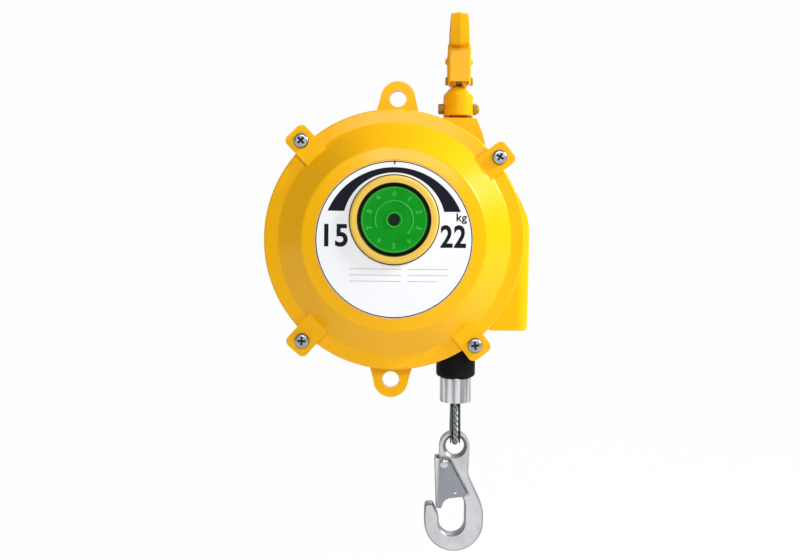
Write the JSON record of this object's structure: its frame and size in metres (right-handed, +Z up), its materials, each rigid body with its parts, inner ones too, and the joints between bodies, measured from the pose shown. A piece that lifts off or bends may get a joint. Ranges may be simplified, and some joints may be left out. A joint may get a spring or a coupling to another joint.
{
  "type": "spring tool balancer",
  "caption": "Round cast spring balancer that hangs from a swivel hook and carries a tool on a retracting wire rope, with a worm-set tension dial and a latched lower hook.",
  "frame": {"origin": "load point of the upper hook: the inside of its bowl at the crown", "axes": "+Z up along the suspension line, the dial and name plate face -Y, the drum axis lies at -X"},
  "size_m": [0.219, 0.1134, 0.4566],
  "materials": {
    "casting_yellow": "gloss",
    "hook_yellow": "gloss",
    "plate_white": "satin",
    "dial_green": "satin",
    "pinion_plastic": "matte",
    "zinc_steel": "satin",
    "turned_steel": "satin",
    "spring_steel": "satin",
    "bearing_steel": "polished",
    "cast_alloy": "matte",
    "drum_iron": "matte",
    "bronze": "satin",
    "black_rubber": "matte",
    "guide_plastic": "matte",
    "rope_wire": "satin",
    "ferrule_alloy": "satin",
    "forged_steel": "satin"
  },
  "bodies": {
    "anchor": {"upper_hook": "hook_yellow", "hook_nut": "zinc_steel", "hook_washer": "zinc_steel", "upper_latch_rivet": "zinc_steel"},
    "upper_latch_body": {"upper_latch": "hook_yellow", "upper_latch_spring": "spring_steel"},
    "swivel": {"swivel_block": "hook_yellow", "hanger_pin": "zinc_steel", "hanger_pin_nut": "zinc_steel"},
    "casing": {"housing": "casting_yellow", "front_cover": "casting_yellow", "cover_screws": "zinc_steel", "name_plate": "plate_white", "dial_screw": "zinc_steel", "front_bearing": "bearing_steel", "rear_bearing": "bearing_steel", "rear_bearing_cap": "cast_alloy", "cap_screws": "zinc_steel", "worm_upper_bush": "bronze", "worm_retainer": "zinc_steel", "cable_guide": "guide_plastic", "rope_lead": "rope_wire", "rope_run": "rope_wire"},
    "rope_drum": {"drum": "drum_iron", "rope_on_drum": "rope_wire", "drum_shaft": "turned_steel", "spring_arbor": "turned_steel", "shaft_circlip": "zinc_steel"},
    "spring_pack": {"spring_case": "cast_alloy", "spring_case_lid": "cast_alloy", "case_lid_screws": "zinc_steel", "case_bush": "bronze", "worm_wheel": "cast_alloy", "mainspring": "spring_steel", "dial_pinion": "pinion_plastic"},
    "worm_shaft": {"worm": "turned_steel"},
    "dial": {"tension_dial": "dial_green"},
    "rope_end": {"rubber_buffer": "black_rubber", "rope_ferrule": "ferrule_alloy", "rope_loop": "rope_wire", "thimble": "zinc_steel"},
    "tool_hook": {"lower_hook": "forged_steel", "lower_latch_rivet": "zinc_steel"},
    "lower_latch_body": {"lower_latch": "zinc_steel", "lower_latch_spring": "spring_steel"}
  },
  "joints": [
    {"name": "upper_latch_swing", "type": "hinge", "parent": "anchor", "child": "upper_latch_body", "pos_m": [0, -0.00645, -0.04921], "axis": [-1, 0, 0], "range_deg": [0, 28], "stiffness_Nm_per_rad": 0.02, "springref_deg": -28.65},
    {"name": "hook_swivel", "type": "hinge", "parent": "anchor", "child": "swivel", "pos_m": [0, 0, -0.0602], "axis": [0, 0, 1], "continuous": true},
    {"name": "hanger_pivot", "type": "hinge", "parent": "swivel", "child": "casing", "pos_m": [0, 0, -0.0717], "axis": [1, 0, 0], "range_deg": [-8, 8]},
    {"name": "drum_spin", "type": "hinge", "parent": "casing", "child": "rope_drum", "pos_m": [-0.053, 0, -0.1826], "axis": [0, 1, 0], "range_deg": [0, 1548], "stiffness_Nm_per_rad": 0.07, "springref_deg": -6359.83},
    {"name": "cable_pull", "type": "slide", "parent": "casing", "child": "rope_end", "axis": [0, 0, -1], "range_m": [0, 1.5], "deforming": ["rope_run"]},
    {"name": "tool_hook_swing", "type": "hinge", "parent": "rope_end", "child": "tool_hook", "pos_m": [0, 0, -0.3572], "axis": [0, 1, 0], "range_deg": [-30, 30]},
    {"name": "lower_latch_swing", "type": "hinge", "parent": "tool_hook", "child": "lower_latch_body", "pos_m": [-0.0092, 0, -0.3713], "axis": [0, -1, 0], "range_deg": [0, 28], "stiffness_Nm_per_rad": 0.02, "springref_deg": -28.65},
    {"name": "spring_adjust", "type": "hinge", "parent": "casing", "child": "spring_pack", "pos_m": [-0.053, 0, -0.1826], "axis": [0, 1, 0], "range_deg": [0, 1030]},
    {"name": "worm_turn", "type": "hinge", "parent": "casing", "child": "worm_shaft", "pos_m": [0.04075, -0.01048, -0.1826], "axis": [0, 0, 1], "range_deg": [0, 71100]},
    {"name": "dial_turn", "type": "hinge", "parent": "casing", "child": "dial", "pos_m": [-0.053, 0, -0.1671], "axis": [0, 1, 0], "range_deg": [0, 270]}
  ],
  "couplings": [
    {"joint": "cable_pull", "follows": "drum_spin", "m_per_rad": 0.0555},
    {"joint": "worm_turn", "follows": "spring_adjust", "ratio": 69},
    {"joint": "dial_turn", "follows": "spring_adjust", "ratio": 0.2619}
  ]
}
